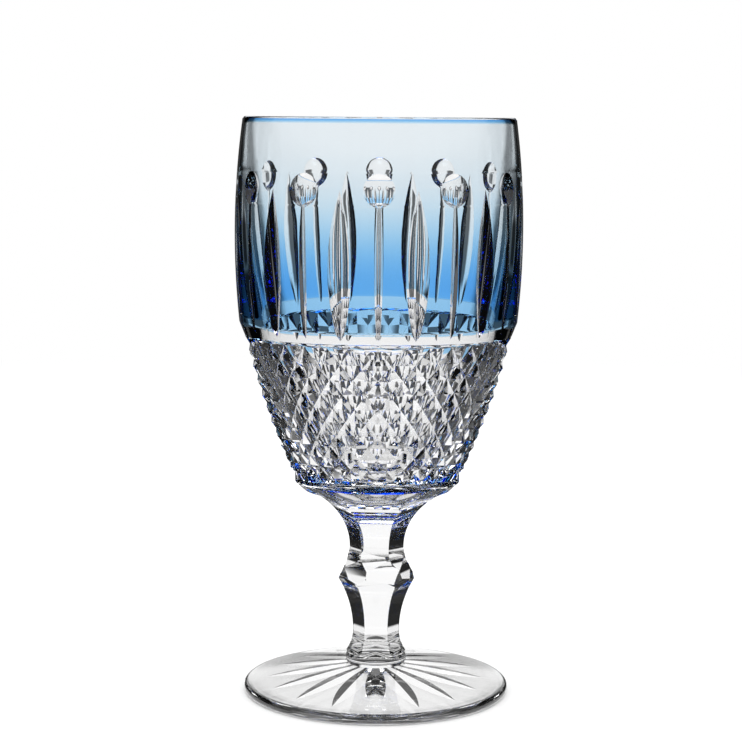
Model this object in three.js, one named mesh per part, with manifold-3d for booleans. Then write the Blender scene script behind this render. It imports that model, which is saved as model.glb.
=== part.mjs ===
// A goblet in cut crystal: a clear bowl cased in blue glass, a fluted stem with a knop, a small
// round merese and a star-cut foot.
// Millimetres and degrees, +Z up. The origin is the centre of the foot's underside. The front of
// the goblet faces -Y, with one round punty and one ray of the star on it.
import * as THREE from 'three';
import { mergeVertices } from 'three/addons/utils/BufferGeometryUtils.js';
import Module from 'manifold-3d';

const wasm = await Module();
wasm.setup();

// Foot: a shallow cone with a rounded edge, standing on a flat ring. The underside is dished inside
// the ring, and a star of mitre cuts is ground into it.
const FOOT_RADIUS = 41.6;
const FOOT_EDGE_THICKNESS = 3.2;
const FOOT_EDGE_ROUNDING = 1.5;
const FOOT_SEAT_HEIGHT = 8.8;
const FOOT_SEAT_MARGIN = 0.4;
const FOOT_RING_WIDTH = 5.1;
const FOOT_DISH_HEIGHT = 5;
const STAR_RAYS = 16;
const STAR_RING_MARGIN = 1;
const STAR_HEART_RADIUS = 3;
const STAR_DEPTH = 1.3;
const STAR_MITRE_ANGLE = 125;

// Merese: a disc with a rounded edge between the foot and the stem
const MERESE_RADIUS = 9.6;
const MERESE_HEIGHT = 3.3;
const MERESE_EDGE_ROUNDING = 0.6;

// Stem: three rings of six flutes, ground one above the other and each turned by its own angle
const STEM_SIDES = 6;
const STEM_BLANK_RADIUS = 13;
const LOWER_FLUTE_APOTHEM = 6.3;
const LOWER_FLUTE_WAIST_RISE = 7;
const LOWER_FLUTE_SWEEP = 36;
const LOWER_FLUTE_EXIT = 13;
const LOWER_FLUTE_TURN = 0;
const KNOP_RISE = 23.4;
const KNOP_APOTHEM = 8.75;
const KNOP_WAIST_RISE = 7;
const KNOP_SWEEP = 10;
const KNOP_TURN = 13;
const UPPER_FLUTE_RISE = 19;
const UPPER_FLUTE_APOTHEM = 7.36;
const UPPER_FLUTE_WAIST_DROP = 8.6;
const UPPER_FLUTE_SWEEP = 19;
const UPPER_FLUTE_EXIT = 8;
const UPPER_FLUTE_TURN = -3.75;

// Bowl, from the seam with the stem up to the rim
const UNDERSIDE_HEIGHT = 12.5;
const UNDERSIDE_SEAM_RADIUS = 12;
const COLLAR_RADIUS = 25.7;
const COLLAR_HEIGHT = 3.6;
const DIAMONDS_AROUND = 32;
const DIAMOND_ROWS = 10;
const DIAMOND_ZONE_HEIGHT = 41.4;
const DIAMOND_INSET = 0.15;
const DIAMOND_BOTTOM_RADIUS = 27.2;
const DIAMOND_ZONE_BULGE = 1.2;
const DIAMOND_MITRE_ANGLE = 118;
const DIAMOND_RUN_OUT = 0.6;
const BEVEL_HEIGHT = 4;
const BEVEL_DEPTH = 1.6;
const CASED_HEIGHT = 62.8;
const CASING_FOOT_RADIUS = 43.1;
const BELLY_RADIUS = 44.5;
const BELLY_RISE = 26;
const RIM_RADIUS = 42;
const RIM_SOFTENING = 0.6;

// Walls of the bowl, measured from the outside of the casing or from the tips of the diamonds. Behind
// the diamonds the wall grows down to the height where the hollow rounds off to its floor.
const RIM_WALL = 2.1;
const BELLY_WALL = 4.2;
const DIAMOND_WALL = 5.7;
const LOWEST_WALL = 12;
const HOLLOW_FLOOR_RISE = 1;
const HOLLOW_ROUNDING_HEIGHT = 14;

// Blue casing: thin at the rim, thicker towards its lower edge
const CASING_RIM_THICKNESS = 0.2;
const CASING_BELLY_THICKNESS = 0.25;
const CASING_FOOT_THICKNESS = 0.3;
const CASING_GAP = 0.05;

// Cuts through the casing: punties, lancets between them and a slim flute under each punty. The
// lancets and flutes run out below the casing's lower edge.
const CUT_REPEATS = 12;
const PUNTY_RADIUS = 4.9;
const PUNTY_WHEEL_RADIUS = 6.6;
const PUNTY_RISE = 42;
const LANCET_TIP_RISE = 41.8;
const LANCET_RUN_OUT = 5;
const LANCET_WIDTH = 7.1;
const LANCET_MITRE_ANGLE = 140;
const SLIM_FLUTE_LEAD = 2.8;
const SLIM_FLUTE_RUN_OUT = 9.2;
const SLIM_FLUTE_WIDTH = 2.5;
const SLIM_FLUTE_MITRE_ANGLE = 120;

// Fineness of the facets, and how far a cutting shape stands clear of what it cuts
const RING_POINTS = 2 * DIAMONDS_AROUND;
const PLAIN_RING_POINTS = 48;
const BARREL_STEPS = 4;
const HOLLOW_STEPS = 4;
const EDGE_STEPS = 4;
const FLUTE_STEPS = 8;
const BROAD_MITRE_STEPS = 5;
const SLIM_MITRE_STEPS = 4;
const PUNTY_POINTS = 10;
const CUTTER_PROUD = 2;
const CUTTER_REACH = 200;

// Heights of the seams and edges above the table
const mereseTop = FOOT_SEAT_HEIGHT + MERESE_HEIGHT;
const knopHeight = mereseTop + KNOP_RISE;
const seamHeight = knopHeight + UPPER_FLUTE_RISE;
const collarBottom = seamHeight + UNDERSIDE_HEIGHT;
const collarTop = collarBottom + COLLAR_HEIGHT;
const diamondBottom = collarTop + DIAMOND_RUN_OUT;
const diamondTop = diamondBottom + DIAMOND_ZONE_HEIGHT;
const bevelBottom = diamondTop + DIAMOND_RUN_OUT;
const casingFoot = bevelBottom + BEVEL_HEIGHT;
const bellyHeight = casingFoot + BELLY_RISE;
const rimHeight = casingFoot + CASED_HEIGHT;
const rimShoulder = rimHeight - RIM_SOFTENING;

// Radii that follow from those of a neighbour
const footEdgeRadius = FOOT_RADIUS - FOOT_EDGE_ROUNDING;
const footRingRadius = footEdgeRadius - FOOT_RING_WIDTH;
const mereseSeatRadius = MERESE_RADIUS - MERESE_EDGE_ROUNDING;
const bevelRadius = CASING_FOOT_RADIUS - BEVEL_DEPTH;
const diamondTopRadius = bevelRadius - DIAMOND_INSET;

const radians = THREE.MathUtils.degToRad;

// The angle about +Z of a place that lies so many degrees to the right of the front
function bearing(degrees) {
  return radians(degrees - 90);
}

function arcThrough(first, middle, last, steps) {
  const toMiddle = middle.clone().sub(first);
  const toLast = last.clone().sub(first);
  const turn = 2 * toMiddle.cross(toLast);
  const centre = new THREE.Vector2(
    (toLast.y * toMiddle.lengthSq() - toMiddle.y * toLast.lengthSq()) / turn,
    (toMiddle.x * toLast.lengthSq() - toLast.x * toMiddle.lengthSq()) / turn,
  ).add(first);
  const radius = centre.distanceTo(first);
  const start = first.clone().sub(centre).angle();
  const end = last.clone().sub(centre).angle();
  return new THREE.EllipseCurve(centre.x, centre.y, radius, radius, start, end, turn < 0).getPoints(steps);
}

// The radius, at any height, of the smooth profile through three of its points
function profileThrough(...points) {
  return (height) => points.reduce((sum, here) => {
    const others = points.filter((other) => other !== here);
    const weight = others.reduce((share, other) => share * (height - other.y) / (here.y - other.y), 1);
    return sum + here.x * weight;
  }, 0);
}

function profilePoints(radiusAt, from, to, steps) {
  return Array.from({ length: steps + 1 }, (_, step) => {
    const height = THREE.MathUtils.lerp(from, to, step / steps);
    return point(radiusAt(height), height);
  });
}

function point(radius, height) {
  return new THREE.Vector2(radius, height);
}

// Signed volume of a closed mesh: negative when its faces point inwards
function signedVolume(corners, faces) {
  let volume = 0;
  for (const [a, b, c] of faces) {
    const normal = new THREE.Vector3().crossVectors(corners[b], corners[c]);
    volume += corners[a].dot(normal) / 6;
  }
  return volume;
}

// A closed skin over rings of equally many points, with a flat cap at each end. Each four-sided
// facet folds along the diagonal that lies nearer the axis, so that a groove keeps its floor.
function loft(rings) {
  const count = rings[0].length;
  const corners = rings.flat();
  const faces = [];
  const depth = (index) => Math.hypot(corners[index].x, corners[index].y);
  for (let ring = 0; ring + 1 < rings.length; ring += 1) {
    for (let side = 0; side < count; side += 1) {
      const next = (side + 1) % count;
      const a = ring * count + side;
      const b = ring * count + next;
      const c = a + count;
      const d = b + count;
      if (depth(a) + depth(d) < depth(b) + depth(c)) {
        faces.push([a, b, d], [a, d, c]);
      } else {
        faces.push([a, b, c], [b, d, c]);
      }
    }
  }
  const last = (rings.length - 1) * count;
  for (let side = 1; side + 1 < count; side += 1) {
    faces.push([0, side + 1, side], [last, last + side, last + side + 1]);
  }
  if (signedVolume(corners, faces) < 0) {
    faces.forEach((face) => face.reverse());
  }
  const geometry = new THREE.BufferGeometry().setFromPoints(corners);
  geometry.setIndex(faces.flat());
  return geometry;
}

// A solid of revolution about +Z from a profile that starts and ends on the axis, or closes on itself
function revolve(profile, segments) {
  return new THREE.LatheGeometry(profile, segments).rotateX(Math.PI / 2);
}

function toSolid(geometry) {
  const bare = geometry.clone();
  bare.deleteAttribute('normal');
  bare.deleteAttribute('uv');
  const merged = mergeVertices(bare);
  const index = merged.index.array;
  const triVerts = [];
  for (let start = 0; start < index.length; start += 3) {
    const [a, b, c] = index.slice(start, start + 3);
    if (a !== b && b !== c && c !== a) {
      triVerts.push(a, b, c);
    }
  }
  return new wasm.Manifold(new wasm.Mesh({
    numProp: 3,
    vertProperties: new Float32Array(merged.attributes.position.array),
    triVerts: new Uint32Array(triVerts),
  }));
}

function toGeometry(solid) {
  const { vertProperties, triVerts } = solid.getMesh();
  const geometry = new THREE.BufferGeometry();
  geometry.setAttribute('position', new THREE.BufferAttribute(vertProperties, 3));
  geometry.setIndex(new THREE.BufferAttribute(triVerts, 1));
  geometry.computeVertexNormals();
  return geometry;
}

// Ring of points about +Z whose radius may change from one point to the next
function ringAt(height, radiusOf, count, turn) {
  return Array.from({ length: count }, (_, index) => {
    const angle = bearing(turn + (360 * index) / count);
    const radius = radiusOf(index);
    return new THREE.Vector3(radius * Math.cos(angle), radius * Math.sin(angle), height);
  });
}

function roundRing({ x: radius, y: height }) {
  return ringAt(height, () => radius, RING_POINTS, 0);
}

// A V-shaped cut that is deepest half way and runs out to a point at both ends. place() gives the
// point that lies so far along the cut, so high above the surface and so far to the side.
function mitreCutter({ start, end, depth, angle, steps, place }) {
  const rings = [];
  for (let step = 0; step <= steps; step += 1) {
    const share = step / steps;
    const along = THREE.MathUtils.lerp(start, end, share);
    const sunk = depth * (1 - (2 * share - 1) ** 2);
    const halfWidth = (sunk + CUTTER_PROUD) * Math.tan(radians(angle / 2));
    rings.push([
      place(along, -sunk, 0),
      place(along, CUTTER_PROUD, halfWidth),
      place(along, CUTTER_PROUD, -halfWidth),
    ]);
  }
  return loft(rings);
}

function repeatAround(geometry, count, firstTurn) {
  return Array.from({ length: count }, (_, index) => {
    const turn = bearing(firstTurn + (360 * index) / count);
    return toSolid(geometry.clone().rotateZ(turn));
  });
}

function cutAll(blank, cutters) {
  return cutters.reduce((solid, cutter) => solid.subtract(cutter), blank);
}

// Six flutes ground all round the stem: at every height the section is a hexagon, and its apothem
// follows the wheel's arc above and below the waist. Beyond the wheel's reach nothing is cut.
function fluteRing({ waist, apothem, sweepAbove, sweepBelow, turn }) {
  const cornerRatio = 1 / Math.cos(Math.PI / STEM_SIDES);
  const cornerTurn = turn - 180 / STEM_SIDES;
  const hexagon = (height, size) => ringAt(height, () => size * cornerRatio, STEM_SIDES, cornerTurn);
  const rings = [hexagon(waist - CUTTER_REACH, CUTTER_REACH)];
  for (let step = -FLUTE_STEPS; step <= FLUTE_STEPS; step += 1) {
    const sweep = step < 0 ? sweepBelow : sweepAbove;
    const lean = (step / FLUTE_STEPS) * (Math.PI / 2);
    rings.push(hexagon(waist + sweep * Math.sin(lean), apothem + sweep * (1 - Math.cos(lean))));
  }
  rings.push(hexagon(waist + CUTTER_REACH, CUTTER_REACH));
  return toSolid(loft(rings));
}

const upperFlutes = fluteRing({
  waist: seamHeight - UPPER_FLUTE_WAIST_DROP,
  apothem: UPPER_FLUTE_APOTHEM,
  sweepAbove: UPPER_FLUTE_SWEEP,
  sweepBelow: UPPER_FLUTE_EXIT,
  turn: UPPER_FLUTE_TURN,
});
const knopFlutes = fluteRing({
  waist: knopHeight + KNOP_WAIST_RISE,
  apothem: KNOP_APOTHEM,
  sweepAbove: KNOP_SWEEP,
  sweepBelow: KNOP_SWEEP,
  turn: KNOP_TURN,
});
const lowerFlutes = fluteRing({
  waist: mereseTop + LOWER_FLUTE_WAIST_RISE,
  apothem: LOWER_FLUTE_APOTHEM,
  sweepAbove: LOWER_FLUTE_SWEEP,
  sweepBelow: LOWER_FLUTE_EXIT,
  turn: LOWER_FLUTE_TURN,
});

// Outside of the casing, its thickness, and the face where it lies on the bowl. That face starts
// under the softened rim and ends on the bevel that trims the casing's lower edge.
const barrelRadius = profileThrough(
  point(RIM_RADIUS, rimHeight),
  point(BELLY_RADIUS, bellyHeight),
  point(CASING_FOOT_RADIUS, casingFoot),
);
const casingThickness = profileThrough(
  point(CASING_RIM_THICKNESS, rimHeight),
  point(CASING_BELLY_THICKNESS, bellyHeight),
  point(CASING_FOOT_THICKNESS, casingFoot),
);

function underCasing(gap) {
  const faceRadius = (height) => barrelRadius(height) - casingThickness(height) - gap;
  const face = profilePoints(faceRadius, rimShoulder, casingFoot, BARREL_STEPS);
  const trim = CASING_FOOT_THICKNESS + gap;
  const edge = point(CASING_FOOT_RADIUS - trim, casingFoot - (trim * BEVEL_HEIGHT) / BEVEL_DEPTH);
  return [...face.slice(0, -1), edge];
}

// Tips of the diamonds lie on a bulged profile, and each row is lower than the last in step with
// its girth
const diamondTipRadius = profileThrough(
  point(diamondTopRadius, diamondTop),
  point(
    (diamondTopRadius + DIAMOND_BOTTOM_RADIUS) / 2 + DIAMOND_ZONE_BULGE,
    (diamondTop + diamondBottom) / 2,
  ),
  point(DIAMOND_BOTTOM_RADIUS, diamondBottom),
);

// Two crossing sets of mitre cuts leave four-sided pyramids: in each row tips and crossings take
// turns, and the next row is shifted by half a diamond.
function diamondRow(row) {
  const share = row / DIAMOND_ROWS;
  const meanRadius = (diamondTopRadius + DIAMOND_BOTTOM_RADIUS) / 2;
  const shrink = DIAMOND_BOTTOM_RADIUS - diamondTopRadius;
  const drop = (diamondTopRadius * share + (shrink * share ** 2) / 2) / meanRadius;
  const meanRowDrop = DIAMOND_ZONE_HEIGHT / DIAMOND_ROWS;
  const height = diamondTop - DIAMOND_ZONE_HEIGHT * drop;
  const tipRadius = diamondTipRadius(height);
  const width = (2 * Math.PI * tipRadius) / DIAMONDS_AROUND;
  const tall = (2 * meanRowDrop * (diamondTopRadius + shrink * share)) / meanRadius;
  const groovePitch = (width * tall) / Math.hypot(width, tall);
  const grooveDepth = groovePitch / 2 / Math.tan(radians(DIAMOND_MITRE_ANGLE / 2));
  const radiusOf = (index) => ((index + row) % 2 === 0 ? tipRadius - grooveDepth : tipRadius);
  return ringAt(height, radiusOf, RING_POINTS, 0);
}

function bowlSkin() {
  const side = underCasing(CASING_GAP);
  const rows = Array.from({ length: DIAMOND_ROWS + 1 }, (_, row) => diamondRow(row));
  return loft([
    roundRing(point(side[0].x - RIM_SOFTENING, rimHeight)),
    ...side.map(roundRing),
    roundRing(point(bevelRadius, bevelBottom)),
    ...rows,
    roundRing(point(COLLAR_RADIUS, collarTop)),
    roundRing(point(COLLAR_RADIUS, collarBottom)),
    roundRing(point(UNDERSIDE_SEAM_RADIUS, seamHeight)),
  ]);
}

// The hollow follows the barrel, narrows behind the diamonds and rounds off to a level floor
function hollow() {
  const floor = collarBottom + HOLLOW_FLOOR_RISE;
  const roundingTop = floor + HOLLOW_ROUNDING_HEIGHT;
  const wallGain = (LOWEST_WALL - DIAMOND_WALL) / (diamondTop - roundingTop);
  const wall = (height) => DIAMOND_WALL + wallGain * (diamondTop - height);
  const wallRadius = (height) => diamondTipRadius(height) - wall(height);
  const roundingRadius = wallRadius(roundingTop);
  const lean = (wallRadius(diamondTop) - roundingRadius) / (diamondTop - roundingTop);
  const floorCurve = new THREE.QuadraticBezierCurve(
    point(0, floor),
    point(roundingRadius - lean * HOLLOW_ROUNDING_HEIGHT, floor),
    point(roundingRadius, roundingTop),
  );
  const rimInside = point(RIM_RADIUS - RIM_WALL, rimShoulder);
  const upperRadius = profileThrough(
    point(wallRadius(diamondTop), diamondTop),
    point(BELLY_RADIUS - BELLY_WALL, bellyHeight),
    rimInside,
  );
  const mouth = rimInside.x + RIM_SOFTENING;
  return revolve([
    ...floorCurve.getPoints(HOLLOW_STEPS),
    ...profilePoints(wallRadius, roundingTop, diamondTop, HOLLOW_STEPS).slice(1),
    ...profilePoints(upperRadius, diamondTop, rimShoulder, BARREL_STEPS).slice(1),
    point(mouth, rimHeight),
    point(mouth, rimHeight + CUTTER_PROUD),
    point(0, rimHeight + CUTTER_PROUD),
  ], PLAIN_RING_POINTS);
}

// The cuts that go through the casing into the clear glass
function barrelCutters() {
  const onBarrel = (height, above, side) => new THREE.Vector3(barrelRadius(height) + above, side, height);
  const puntyHeight = casingFoot + PUNTY_RISE;
  const leaf = (runOut, end, width, angle, steps) => mitreCutter({
    start: casingFoot - runOut,
    end,
    depth: width / 2 / Math.tan(radians(angle / 2)),
    angle,
    steps,
    place: onBarrel,
  });
  const lancet = leaf(
    LANCET_RUN_OUT,
    casingFoot + LANCET_TIP_RISE,
    LANCET_WIDTH,
    LANCET_MITRE_ANGLE,
    BROAD_MITRE_STEPS,
  );
  const slimFlute = leaf(
    SLIM_FLUTE_RUN_OUT,
    puntyHeight + SLIM_FLUTE_LEAD,
    SLIM_FLUTE_WIDTH,
    SLIM_FLUTE_MITRE_ANGLE,
    SLIM_MITRE_STEPS,
  );
  const wheelClear = Math.sqrt(PUNTY_WHEEL_RADIUS ** 2 - PUNTY_RADIUS ** 2);
  const punty = new THREE.SphereGeometry(PUNTY_WHEEL_RADIUS, PUNTY_POINTS, PUNTY_POINTS)
    .rotateZ(Math.PI / 2)
    .translate(barrelRadius(puntyHeight) + wheelClear, 0, puntyHeight);
  return [
    ...repeatAround(lancet, CUT_REPEATS, 180 / CUT_REPEATS),
    ...repeatAround(slimFlute, CUT_REPEATS, 0),
    ...repeatAround(punty, CUT_REPEATS, 0),
  ];
}

function makeBowl(cutters) {
  const blank = toSolid(bowlSkin()).subtract(toSolid(hollow())).intersect(upperFlutes);
  return cutAll(blank, cutters);
}

function makeCasing(cutters) {
  const outside = profilePoints(barrelRadius, rimShoulder, casingFoot, BARREL_STEPS);
  const inside = underCasing(0).reverse();
  const profile = [...outside, ...inside, outside[0]].reverse();
  return cutAll(toSolid(revolve(profile, RING_POINTS)), cutters);
}

function makeStem() {
  const blank = toSolid(revolve([
    point(0, mereseTop),
    point(mereseSeatRadius, mereseTop),
    point(STEM_BLANK_RADIUS, mereseTop + LOWER_FLUTE_WAIST_RISE),
    point(STEM_BLANK_RADIUS, seamHeight),
    point(0, seamHeight),
  ], PLAIN_RING_POINTS));
  return blank.intersect(lowerFlutes).intersect(knopFlutes).intersect(upperFlutes);
}

function makeMerese() {
  const edge = arcThrough(
    point(mereseSeatRadius, FOOT_SEAT_HEIGHT),
    point(MERESE_RADIUS, FOOT_SEAT_HEIGHT + MERESE_HEIGHT / 2),
    point(mereseSeatRadius, mereseTop),
    EDGE_STEPS,
  );
  return toSolid(revolve([point(0, FOOT_SEAT_HEIGHT), ...edge, point(0, mereseTop)], PLAIN_RING_POINTS));
}

// Height of the dished underside: level inside the heart of the star, then down to the flat ring
function undersideHeight(radius) {
  return THREE.MathUtils.mapLinear(radius, STAR_HEART_RADIUS, footRingRadius, FOOT_DISH_HEIGHT, 0);
}

function makeFoot() {
  const edge = arcThrough(
    point(footEdgeRadius, 0),
    point(FOOT_RADIUS, FOOT_EDGE_THICKNESS / 2),
    point(footEdgeRadius, FOOT_EDGE_THICKNESS),
    EDGE_STEPS,
  );
  const blank = toSolid(revolve([
    point(0, FOOT_DISH_HEIGHT),
    point(STAR_HEART_RADIUS, FOOT_DISH_HEIGHT),
    point(footRingRadius, 0),
    ...edge,
    point(MERESE_RADIUS + FOOT_SEAT_MARGIN, FOOT_SEAT_HEIGHT),
    point(0, FOOT_SEAT_HEIGHT),
  ], PLAIN_RING_POINTS));
  const ray = mitreCutter({
    start: STAR_HEART_RADIUS,
    end: footRingRadius - STAR_RING_MARGIN,
    depth: STAR_DEPTH,
    angle: STAR_MITRE_ANGLE,
    steps: BROAD_MITRE_STEPS,
    place: (radius, above, side) => new THREE.Vector3(radius, side, undersideHeight(radius) - above),
  });
  return cutAll(blank, repeatAround(ray, STAR_RAYS, 0));
}

const clearCrystal = new THREE.MeshStandardMaterial({ color: 0xeef2f6, roughness: 0.04, metalness: 0 });
const blueCasing = new THREE.MeshStandardMaterial({ color: 0x3f7fe0, roughness: 0.04, metalness: 0 });

function piece(name, solid, material) {
  const mesh = new THREE.Mesh(toGeometry(solid), material);
  mesh.name = name;
  return mesh;
}

const cutters = barrelCutters();
const goblet = new THREE.Group();
goblet.add(
  piece('bowl', makeBowl(cutters), clearCrystal),
  piece('blue_casing', makeCasing(cutters), blueCasing),
  piece('stem', makeStem(), clearCrystal),
  piece('merese', makeMerese(), clearCrystal),
  piece('foot', makeFoot(), clearCrystal),
);

export default goblet;
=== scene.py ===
# %% [markdown]
# # A cut-crystal goblet with a blue casing
# The real goblet is clear lead crystal. Its bowl was dipped in a thin layer of blue glass while hot, and a
# cutter then ground through the blue with stone wheels, so the clear glass shows in every cut.
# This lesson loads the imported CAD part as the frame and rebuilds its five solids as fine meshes. Light bends at
# each face of glass, so curves need many small faces with smooth shading, and cuts need sharp edges.

import math

import bmesh
import bpy
import numpy as np
from mathutils import Matrix


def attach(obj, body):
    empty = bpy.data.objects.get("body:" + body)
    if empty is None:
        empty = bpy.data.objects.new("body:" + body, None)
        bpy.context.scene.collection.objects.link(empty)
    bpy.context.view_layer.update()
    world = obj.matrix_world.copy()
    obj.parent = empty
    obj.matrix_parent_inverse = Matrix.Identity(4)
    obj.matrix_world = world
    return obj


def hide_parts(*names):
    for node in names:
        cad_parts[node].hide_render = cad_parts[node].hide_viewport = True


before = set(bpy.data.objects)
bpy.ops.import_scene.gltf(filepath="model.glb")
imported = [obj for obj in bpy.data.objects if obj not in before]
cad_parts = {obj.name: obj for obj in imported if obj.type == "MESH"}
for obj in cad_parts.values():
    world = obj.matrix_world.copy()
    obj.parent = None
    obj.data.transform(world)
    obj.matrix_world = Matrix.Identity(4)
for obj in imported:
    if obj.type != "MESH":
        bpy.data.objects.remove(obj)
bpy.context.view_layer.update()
MM = 0.001
scene = bpy.context.scene

# %% [markdown]
# ## Helpers
# Colours are written as sRGB hex values and turned into the linear light that shaders want. All node trees are
# built by one function that adds a node with its settings and fills each input with a value or a link.

# %% Colour, node and object helpers
MATH, MAP_RANGE = "ShaderNodeMath", "ShaderNodeMapRange"
MULTIPLY, MAXIMUM, SUBTRACT = ({"operation": name} for name in ("MULTIPLY", "MAXIMUM", "SUBTRACT"))


def linear(hex_colour):
    parts = [int(hex_colour[place:place + 2], 16) / 255 for place in (1, 3, 5)]
    return [part / 12.92 if part <= 0.04045 else ((part + 0.055) / 1.055) ** 2.4 for part in parts] + [1.0]


def add(tree, kind, settings=None, inputs=None):
    """Adds a node. An input takes a value, a socket, or a node, which gives its first output."""
    node = tree.nodes.new(kind)
    for name, value in (settings or {}).items():
        setattr(node, name, value)
    for name, value in (inputs or {}).items():
        value = value.outputs[0] if isinstance(value, bpy.types.Node) else value
        if isinstance(value, bpy.types.NodeSocket):
            tree.links.new(value, node.inputs[name])
        else:
            node.inputs[name].default_value = value
    return node


def empty_tree(owner):
    owner.use_nodes = True
    owner.node_tree.nodes.clear()
    return owner.node_tree


def linked(name, data):
    thing = bpy.data.objects.new(name, data)
    scene.collection.objects.link(thing)
    return thing


print("white in linear light:", linear("#FFFFFF"))

# %% [markdown]
# ## Profiles
# A blown and turned piece is round, so its shape is one curve: the radius at each height. The curve could be
# drawn and spun, but the cuts need that radius as a number, so each stretch is a smooth function through three
# measured points. Sizes are in millimetres and degrees, heights run up from the table, and the front faces -Y.
# They are the CAD part's sizes, apart from a few that glass shows too plainly: the rim's wall, the casing, the
# floors of the cuts, the star and the foot's ring.

# %% Profile of the outside
RIM, RIM_RADIUS, RIM_SOFTENING = 180.0, 42.0, 0.6
RIM_SHOULDER = RIM - RIM_SOFTENING
BELLY, BELLY_RADIUS = 143.2, 44.5
CASING_FOOT, CASING_FOOT_RADIUS = 117.2, 43.1
BEVEL_BOTTOM, BEVEL_RADIUS = 113.2, 41.5
DIAMOND_TOP, DIAMOND_TOP_RADIUS = 112.6, 41.35
DIAMOND_BOTTOM, DIAMOND_BOTTOM_RADIUS = 71.2, 27.2
DIAMOND_BULGE = 1.2
BEVEL_SLOPE = (CASING_FOOT - BEVEL_BOTTOM) / (CASING_FOOT_RADIUS - BEVEL_RADIUS)


def profile_through(*points):
    """The smooth radius, as a function of the height, through (radius, height) points."""
    heights = [height for _, height in points]
    radii = [radius for radius, _ in points]
    return np.poly1d(np.polyfit(heights, radii, len(points) - 1))


barrel = profile_through((RIM_RADIUS, RIM), (BELLY_RADIUS, BELLY), (CASING_FOOT_RADIUS, CASING_FOOT))
diamond_tips = profile_through(
    (DIAMOND_TOP_RADIUS, DIAMOND_TOP),
    ((DIAMOND_TOP_RADIUS + DIAMOND_BOTTOM_RADIUS) / 2 + DIAMOND_BULGE, (DIAMOND_TOP + DIAMOND_BOTTOM) / 2),
    (DIAMOND_BOTTOM_RADIUS, DIAMOND_BOTTOM),
)
print("goblet stands", RIM, "mm high and is", 2 * BELLY_RADIUS, "mm across")

# %% Profile of the hollow
RIM_WALL, BELLY_WALL, DIAMOND_WALL = 1.6, 4.2, 5.7
hollow_top = profile_through(
    (diamond_tips(DIAMOND_TOP) - DIAMOND_WALL, DIAMOND_TOP),
    (BELLY_RADIUS - BELLY_WALL, BELLY),
    (RIM_RADIUS - RIM_WALL, RIM_SHOULDER),
)
print("wall at the belly:", round(barrel(BELLY) - hollow_top(BELLY), 2), "mm")

# %% [markdown]
# ## Meshes from rows of points
# Spinning a profile or cutting with Booleans doesn't put points exactly on the edges of the cuts, and a stray
# triangle shows in glass. So the pieces are woven from grids of points that follow the edges. Each face also
# carries a number, fused, which is 1 where the piece was melted to its neighbour.


# %% Mesh helpers
def place(radius, angle, height):
    """Points in metres from a radius, degrees to the right of the front, and a height."""
    radius, angle, height = np.broadcast_arrays(radius, np.radians(angle), height)
    return np.stack([radius * np.sin(angle), -radius * np.cos(angle), height], -1) * MM


class Sheet:
    """Gathers grids of points into one mesh. Rows run upwards and columns to the right, seen from outside."""

    def __init__(self):
        self.points, self.faces, self.fused = [], [], []

    def grid(self, points, fused=None, flip=False):
        rows, columns = points.shape[:2]
        first = len(self.points)
        self.points.extend(points.reshape(-1, 3))
        for row in range(rows - 1):
            for column in range(columns - 1):
                corner = first + row * columns + column
                face = [corner, corner + 1, corner + columns + 1, corner + columns]
                self.faces.append(face[::-1] if flip else face)
                self.fused.append(0.0 if fused is None else float(fused[row, column]))

    def mesh(self, name):
        mesh = bpy.data.meshes.new(name)
        mesh.from_pydata([tuple(point) for point in self.points], [], self.faces)
        mesh.attributes.new("fused", "FLOAT", "FACE").data.foreach_set("value", self.fused)
        return mesh


def ring_stack(profile, columns, turn=0.0):
    """A turned surface: one ring of points for each (radius, height) of the profile."""
    radii, heights = np.array(profile).T
    angles = np.linspace(turn, turn + 360, columns + 1)
    return place(radii[:, None], angles[None, :], heights[:, None])


def shares(steps):
    """A row of even shares from 0 to 1."""
    return np.linspace(0, 1, steps + 1)[None, :]


print("a point at the front of the rim:", place(RIM_RADIUS, 0, RIM))

# %% [markdown]
# ## Two finishes, both glass
# Lead crystal bends light more than window glass does: its refractive index is about 1.545. Where two pieces
# were fused hot there is no air between them, so light goes straight on, and the shader lowers the index to 1
# on fused faces. Polishing leaves faint waves, and tables scuff the foot's ring. The blue is a real layer in
# the mesh, so its colour is an absorption inside it. A blue surface would be simpler, but it couldn't fade.

# %% Glass finishes
CRYSTAL_INDEX, AIR_INDEX = 1.545, 1.0
WAVE_MM, WAVE_DEPTH_MM, WAVE_STRENGTH = 6.25, 0.1, 0.1  # the faint waves of hand polishing
SCUFF_MM, SCUFF_HEIGHT_MM = 0.4, 0.02  # fine scratches, only where the ring touches the table
SCUFF_FIRST, SCUFF_FULL, SCUFF_ROUGHNESS = 0.45, 0.75, 0.25


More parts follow.
